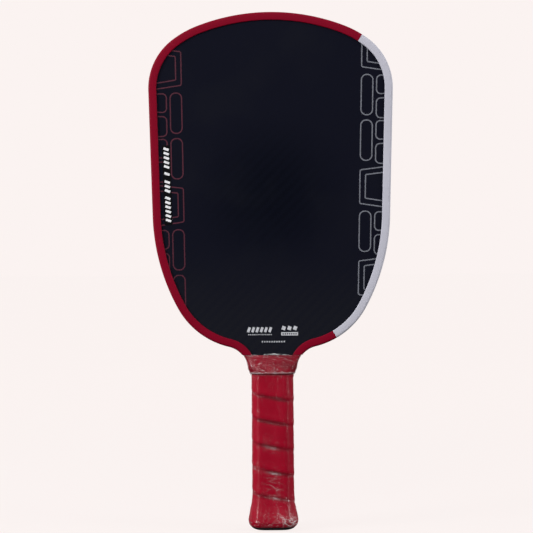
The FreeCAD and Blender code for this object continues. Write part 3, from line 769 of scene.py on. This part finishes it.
def wound_grip():
    """The grip as a helix: rows of vertices follow the turns, so every turn's edge is a clean step."""
    angles, shares = ring_angles()
    mesh_data = bmesh.new()
    # Per-vertex painted shade at the turns' edges, read by the grip's material.
    groove = mesh_data.verts.layers.float.new("groove")
    start = FIRST_SEAM - (FRONT_SHARE + TURNS_BELOW) * TURN_PITCH
    rows = TURN_ROWS * TURNS
    columns = []
    for angle, share in zip(angles, shares):
        column = []
        for row in range(rows + 1):
            within = (row % TURN_ROWS) / TURN_ROWS
            along = drifted(start + (row / TURN_ROWS + share) * TURN_PITCH)
            height = min(max(along, GRIP_LOW), GRIP_HIGH)
            uneven = 0.08 * MM * noise.noise(Vector((math.cos(angle) * 2, math.sin(angle) * 2, height * 90)))
            out = through(FLARE, height) + turn_height(within, height) + uneven
            radius = reach(angle, octagon_flats(out), butt_softness(height))
            vertex = mesh_data.verts.new((radius * math.cos(angle), radius * math.sin(angle), height))
            vertex[groove] = groove_share(within, angle, height)
            column.append(vertex)
        columns.append(column)
    for index, column in enumerate(columns):
        last = index + 1 == AROUND
        after = columns[0] if last else columns[index + 1]
        shift = TURN_ROWS if last else 0
        for row in range(rows):
            if row + 1 + shift > rows:
                continue
            corners = (column[row], after[row + shift], after[row + 1 + shift], column[row + 1])
            heights = [corner.co.z for corner in corners]
            if max(heights) - min(heights) < 1e-7:
                continue
            mesh_data.faces.new(corners)
    bmesh.ops.remove_doubles(mesh_data, verts=mesh_data.verts, dist=1e-6)
    loose = [vertex for vertex in mesh_data.verts if not vertex.link_faces]
    bmesh.ops.delete(mesh_data, geom=loose, context="VERTS")
    turn_rim_inwards(mesh_data)
    piece = keep("wound_grip", mesh_data, grip_leather(), crease=60.0)
    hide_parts("cushion_grip")


def turn_rim_inwards(mesh_data):
    """Gives an open sheet's rims a thickness, by folding them towards the axis."""
    depth = 0.9 * MM
    rim = [edge for edge in mesh_data.edges if edge.is_boundary]
    made = bmesh.ops.extrude_edge_only(mesh_data, edges=rim)["geom"]
    for vertex in (item for item in made if isinstance(item, bmesh.types.BMVert)):
        flat = Vector((vertex.co.x, vertex.co.y, 0))
        vertex.co -= flat.normalized() * depth


def stacked_tube(name, levels, material, caps=(False, False), crease=35.0):
    """A closed skin through level rings; each level is a height and its flats."""
    mesh_data = bmesh.new()
    rings = []
    angles = [math.pi / 2 - 2 * math.pi * index / AROUND for index in range(AROUND)]
    for height, flats in levels:
        ring = []
        for angle in angles:
            radius = reach(angle, flats, butt_softness(height))
            ring.append(mesh_data.verts.new((radius * math.cos(angle), radius * math.sin(angle), height)))
        rings.append(ring)
    join_rings(mesh_data, rings)
    if caps[0]:
        mesh_data.faces.new(rings[0])
    if caps[1]:
        mesh_data.faces.new(rings[-1])
    return keep(name, mesh_data, material, crease=crease)


COLLAR_LOW = extent("throat_collar", 2, 0)
COLLAR_HIGH = extent("throat_collar", 2, 1)
COLLAR_WALL = 0.8 * MM
# Sections of the collar in millimetres: height, half-width, half-depth and how much each corner is cut back.
COLLAR = [
    (124.4, 17.3, 14.5, 5.4), (124.9, 17.8, 14.9, 5.4), (125.7, 18.15, 15.1, 5.2), (126.6, 18.3, 14.95, 5.0),
    (128.6, 19.3, 14.3, 4.4), (131.4, 19.8, 13.3, 3.7), (134.0, 20.4, 12.0, 3.0), (136.0, 21.2, 10.9, 2.2),
    (138.0, 22.3, 9.9, 1.4), (139.6, 23.3, 9.35, 0.8),
]


def collar_section(height, growth):
    wide, deep, corner = (
        through([(row[0] * MM, row[part] * MM) for row in COLLAR], height) for part in (1, 2, 3)
    )
    return collar_flats(wide + growth, deep + growth, corner)


def throat_collar():
    """Rubber ring with rolled edges, from the grip out over the foot of the head."""
    steps = 26
    roll = 0.35 * MM
    outside = []
    for step in range(steps + 1):
        height = COLLAR_LOW + (COLLAR_HIGH - COLLAR_LOW) * step / steps
        from_end = min(height - COLLAR_LOW, COLLAR_HIGH - height)
        rounding = roll * max(0.0, 1 - from_end / roll) ** 2
        outside.append((height, collar_section(height, -rounding)))
    inside = [(height, collar_section(height, -COLLAR_WALL)) for height, _ in reversed(outside)]
    piece = stacked_tube("collar", outside + inside + outside[:1], collar_rubber(), crease=50.0)
    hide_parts("throat_collar")


def butt_cap():
    """Moulded cap: crowned end with a stepped recess, rounded rim and a cup for the handle."""
    rim = [
        (0.45, -9.2), (0.45, -5.9), (0.3, -5.6), (0.05, -5.4), (0.0, -5.0), (0.0, -3.4), (0.06, -2.0),
        (0.3, -0.3), (0.75, 1.1), (1.3, 2.2), (2.0, 3.05), (2.7, 3.4), (3.4, 3.4), (7.0, 3.3), (10.0, 2.7),
        (25.0, 0.0), (30.0, 0.0), (30.0, -1.2), (3.0, -1.2),
    ]
    levels = [(height * MM, octagon_flats(spread * MM)) for height, spread in rim]
    material = plain_matter("cap_black", srgb(24, 24, 27), 0.5, grain=1400.0, contrast=0.2)
    piece = stacked_tube("moulded_cap", levels, material, caps=(True, True), crease=40.0)
    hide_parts("butt_cap")


# ---- Clear sleeve ------------------------------------------------------------------------------------------

SLEEVE_LOW = extent("grip_film", 2, 0)
SLEEVE_HIGH = extent("grip_film", 2, 1)
SLEEVE_ROWS = 300
STAND_OFF = 0.12 * MM
SETTLE = 3 * MM
CLEAR_OF_GRIP = 128 * MM
FRONT = -math.pi / 2
RIGHT_FRONT = -math.pi / 4


def folds(place, size, sharpness):
    """Sharp-ridged random folds from 0 to 1; size is the spacing of the folds along each axis."""
    spaced = Vector((place.x / size[0], place.y / size[0], place.z / size[1]))
    return max(0.0, 1 - 2.2 * abs(noise.noise(spaced))) ** sharpness


def near(number, middle, spread):
    """1 at the middle, falling smoothly to 0 away from it."""
    return math.exp(-(((number - middle) / spread) ** 2))


def turned_from(angle, middle):
    """Unsigned turn between two directions."""
    return abs((angle - middle + math.pi) % (2 * math.pi) - math.pi)


def film_folds(angle, height):
    """How far the film stands off what it wraps, in millimetres, and how much painted highlight whitens its
    folds there.
    """
    place = Vector((math.cos(angle) * 16 * MM, math.sin(angle) * 16 * MM, height))
    pleats = folds(place, (2.6 * MM, 26 * MM), 5) * (0.35 + 0.65 * noise.noise(place / (22 * MM)) ** 2 * 4)
    at_collar = through([(116 * MM, 0.0), (124 * MM, 1.0), (140 * MM, 1.0)], height)
    at_butt = through([(2.4 * MM, 0.0), (3.4 * MM, 1.0), (9 * MM, 0.45), (19 * MM, 0.0)], height)
    low_front = near(turned_from(angle, FRONT), 0.0, 0.5) * near(height, 36 * MM, 9 * MM)
    bunch = near(turned_from(angle, RIGHT_FRONT), 0.0, 0.4) * near(height, 7 * MM, 4 * MM)
    crumpled = folds(place, (5.0 * MM, 3.4 * MM), 4)
    wide = folds(place + Vector((0.3, 0.1, 0)), (11 * MM, 3.0 * MM), 4)
    fine = folds(place + Vector((0, 0.2, 0.1)), (3.2 * MM, 2.2 * MM), 3)
    ring = max(0.0, near(height, 125.7 * MM, 0.5 * MM) * (0.8 + 0.8 * noise.noise(place / (5 * MM))))
    below = near(height, 123.8 * MM, 0.6 * MM)
    lift = 0.12 * pleats + (0.35 * crumpled + 0.2 * fine) * at_collar + 0.25 * crumpled * at_butt
    lift += 0.22 * wide * low_front + (0.6 + 0.8 * fine) * bunch + 0.25 * fine * at_butt + 0.15 * ring
    # Painted highlights: white on pleats, crumples by the collar and butt, folds low on the front, the bunch
    # and rings.
    white = (
        0.1 * pleats ** 2 + (0.3 * crumpled ** 8 + 0.08 * fine ** 8) * at_collar
        + 0.35 * wide ** 1.5 * low_front
    )
    white += (0.15 + 0.6 * fine) * bunch + 0.35 * fine ** 1.5 * at_butt + 0.55 * ring + 0.1 * below
    return lift * MM, white


# Heights on the front where the film bridges a step of the grip and has a highlight painted on, and how white
# it is.
BRIDGES = [(27.0 * MM, 0.2), (48.0 * MM, 0.4), (68.0 * MM, 0.24), (87.0 * MM, 0.06)]


def seam_glint(share, angle, height):
    """Painted highlight: white of the film where it bridges one turn of the grip and the next, patchy round
    the handle.
    """
    place = Vector((math.cos(angle) * 2.6, math.sin(angle) * 2.6, height * 45))
    patch = max(0.0, 0.1 + 1.4 * noise.noise(place))
    lower = through([(20 * MM, 0.9), (50 * MM, 0.9), (75 * MM, 0.5), (120 * MM, 0.3)], height)
    grain = 0.5 + 0.9 * folds(Vector((place.x, place.y, height * 300)), (0.5, 1.0), 1)
    middle = (share + 0.5) % 1.0
    across = near(middle, 0.475, 0.045) + 0.5 * near(middle, 0.57, 0.04)
    wound = through([(14 * MM, 0.0), (20 * MM, 1.0), (118 * MM, 1.0), (122 * MM, 0.0)], height)
    lens = near(turned_from(angle, FRONT + 0.05), 0.0, 0.34) * near(middle, 0.45, 0.055)
    bridge = sum(strong * near(height, bridge_height, 5 * MM) for bridge_height, strong in BRIDGES)
    return across * patch * lower * wound * grain * 0.3 + lens * bridge * (0.5 + 0.7 * grain)


def clear_sleeve():
    angles, shares = ring_angles()
    mesh_data = bmesh.new()
    crease_layer = mesh_data.verts.layers.float.new("crease")
    rings = []
    for row in range(SLEEVE_ROWS + 1):
        ring = []
        for angle, share in zip(angles, shares):
            facing = max(0.0, 2 * abs(math.sin(angle)) ** 0.5 - 1)
            flutter = noise.noise(Vector((math.cos(angle) * 5, math.sin(angle) * 5, 7.0)))
            top_glint = near(angle % (2 * math.pi), 1.53 * math.pi, 0.32)
            high = SLEEVE_HIGH + (1.1 + 0.8 * flutter + 0.5 * top_glint) * MM * facing
            height = SLEEVE_LOW + (high - SLEEVE_LOW) * row / SLEEVE_ROWS
            within = ((height - FIRST_SEAM) / TURN_PITCH - share + 0.5) % 1.0
            bridged = max(
                turn_height((within + offset) % 1.0, height) for offset in (-0.06, -0.03, 0.0, 0.03)
            )
            out = through(FLARE, height) + bridged + STAND_OFF
            radius = reach(angle, octagon_flats(out), butt_softness(height))
            if height > COLLAR_LOW - SETTLE:
                over = reach(angle, collar_section(max(height, COLLAR_LOW), STAND_OFF))
                settle = min(1.0, (height - COLLAR_LOW + SETTLE) / SETTLE)
                radius += (max(over, radius) - radius) * settle ** 3
                radius = over if height > CLEAR_OF_GRIP else radius
            lift, white = film_folds(angle, height)
            radius += lift
            vertex = mesh_data.verts.new((radius * math.cos(angle), radius * math.sin(angle), height))
            # Painted highlights: a white rim along the film's top edge, strongest at the front, added to the
            # folds' and seams' white.
            rim = max(0.0, 1 - (high - height) / (1.1 * MM)) * max(0.0, 0.2 + 1.1 * flutter + 1.6 * top_glint)
            vertex[crease_layer] = min(1.0, white + seam_glint(within, angle, height) + rim)
            ring.append(vertex)
        rings.append(ring)
    join_rings(mesh_data, rings)
    piece = keep("clear_sleeve", mesh_data, clear_film(), crease=80.0)
    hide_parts("grip_film")


# ---- Carried-over CAD nodes ------------------------------------------------------------------------------


def paint(node, material):
    """Gives a CAD node that stays in sight, or inside, its own material."""
    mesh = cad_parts[node].data
    mesh.materials.clear()
    mesh.materials.append(material)


def paint_nodes():
    coating = face_coating()
    paint("front_face_skin", coating)
    paint("back_face_skin", coating)
    paint(
        "spec_label",
        plain_matter("label_black", srgb(4, 4, 6), 0.4, grain=300.0, depth=0.01 * MM, gloss=0.08),
    )
    glue = plain_matter("bond_film", srgb(214, 184, 120), 0.35)
    paint("front_bond_film", glue)
    paint("back_bond_film", glue)
    shell = plain_matter("shell_foam", srgb(186, 184, 178), 0.7, grain=1100.0, depth=0.1 * MM)
    paint("front_handle_shell", shell)
    paint("back_handle_shell", shell)
    paint("honeycomb_core", plain_matter("honeycomb", srgb(228, 232, 230), 0.45, grain=500.0))
    paint(
        "foam_edge_wall",
        plain_matter("edge_foam", srgb(222, 218, 200), 0.85, grain=1600.0, depth=0.15 * MM),
    )
    paint("handle_core", plain_matter("core_foam", srgb(210, 204, 184), 0.8, grain=1300.0, depth=0.12 * MM))
    paint("carbon_rim", plain_matter("carbon_rim", srgb(30, 30, 33), 0.4, grain=700.0))
    paint("guard_tape", plain_matter("foam_tape", srgb(240, 240, 238), 0.9, grain=1500.0, depth=0.1 * MM))
    paint("grip_finishing_tape", plain_matter("tape_black", srgb(26, 26, 28), 0.6, grain=1800.0))
    steel = plain_matter("staple_steel", srgb(180, 182, 186), 0.3, grain=1200.0)
    steel.node_tree.nodes["Principled BSDF"].inputs["Metallic"].default_value = 1.0
    paint("butt_cap_staples", steel)


# ---- Studio ------------------------------------------------------------------------------------------------

PALE = srgb(251, 243, 241)


def floor():
    """Wide pale paper just under the butt: it glows near its own colour, less close in, where it is lit."""
    mesh_data = bmesh.new()
    bmesh.ops.create_grid(mesh_data, x_segments=1, y_segments=1, size=40.0)
    mesh = bpy.data.meshes.new("floor")
    mesh_data.to_mesh(mesh)
    mesh_data.free()
    plane = bpy.data.objects.new("floor", mesh)
    bpy.context.collection.objects.link(plane)
    plane.location = (0, 0, -0.2 * MM)
    shader = Shader("floor_paper", Roughness=0.9, Specular_IOR_Level=0.0)
    fibres = shader.noise(900.0, detail=3.0)
    from_middle = shader.node("ShaderNodeVectorMath", {"operation": "LENGTH"}, Vector=shader.place)
    far = shader.band(from_middle.outputs["Value"], 0.35, 1.3)
    seen = shader.node("ShaderNodeLightPath", {}).outputs["Is Camera Ray"]
    glow = shader.math("MULTIPLY", shader.between(far, 0.925, 0.993), seen)
    mesh.materials.append(
        shader.finish(
            Base_Color=shader.blend(far, srgb(64, 63, 63), srgb(10, 10, 10)),
            Normal=shader.bump(fibres, 0.05 * MM, 0.3),
            Emission_Color=PALE,
            Emission_Strength=glow,
        )
    )


def area_light(name, place, target, size, power):
    data = bpy.data.lights.new(name, "AREA")
    data.shape = "RECTANGLE"
    data.size, data.size_y = size
    data.energy = power
    light = bpy.data.objects.new(name, data)
    light.location = place
    light.rotation_euler = (Vector(target) - Vector(place)).to_track_quat("-Z", "Y").to_euler()
    bpy.context.collection.objects.link(light)


def studio():
    middle = (0, 0, 0.21)
    area_light("left_box", (-1.6, -0.8, 0.75), (0, 0, 0.2), (0.7, 1.5), 39)
    area_light("right_box", (1.7, -0.6, 0.75), (0, 0, 0.2), (0.6, 1.5), 25)
    area_light("front_fill", (-0.5, -2.2, 1.5), middle, (1.4, 1.0), 23)
    area_light("top", (0, 0.1, 2.2), middle, (1.6, 1.6), 9)
    area_light("back_left", (-1.4, 1.6, 0.9), middle, (1.2, 1.4), 22)
    area_light("back_right", (1.5, 1.5, 1.1), middle, (1.2, 1.4), 20)

    world = bpy.data.worlds.new("studio")
    bpy.context.scene.world = world
    world.use_nodes = True
    tree = world.node_tree
    seen = tree.nodes["Background"]
    seen.inputs["Color"].default_value = PALE
    lit = tree.nodes.new("ShaderNodeBackground")
    lit.inputs["Color"].default_value = (0.96, 0.97, 1.0, 1)
    lit.inputs["Strength"].default_value = 0.2
    path = tree.nodes.new("ShaderNodeLightPath")
    mix = tree.nodes.new("ShaderNodeMixShader")
    tree.links.new(path.outputs["Is Camera Ray"], mix.inputs["Fac"])
    tree.links.new(lit.outputs[0], mix.inputs[1])
    tree.links.new(seen.outputs[0], mix.inputs[2])
    tree.links.new(mix.outputs[0], tree.nodes["World Output"].inputs["Surface"])
    bpy.context.scene.view_settings.view_transform = "Standard"


def camera():
    """Square on to the front face, a little left of the axis, the paddle leaning by under half a degree."""
    distance = 1.3
    span = 428.5 * MM
    lean = math.radians(0.4)
    data = bpy.data.cameras.new("camera")
    data.sensor_width = 36.0
    data.lens = data.sensor_width / 2 / (span / 2 / distance)
    eye = bpy.data.objects.new("camera", data)
    eye.matrix_world = (
        Matrix.Translation((-4.2 * MM, -distance, 210.5 * MM))
        @ Matrix.Rotation(math.pi / 2, 4, "X")
        @ Matrix.Rotation(-lean, 4, "Z")
    )
    bpy.context.collection.objects.link(eye)
    bpy.context.scene.camera = eye


camera()
studio()
floor()
paint_nodes()
edge_guard()
printed_shapes()
spec_label()
wound_grip()
throat_collar()
butt_cap()
clear_sleeve()
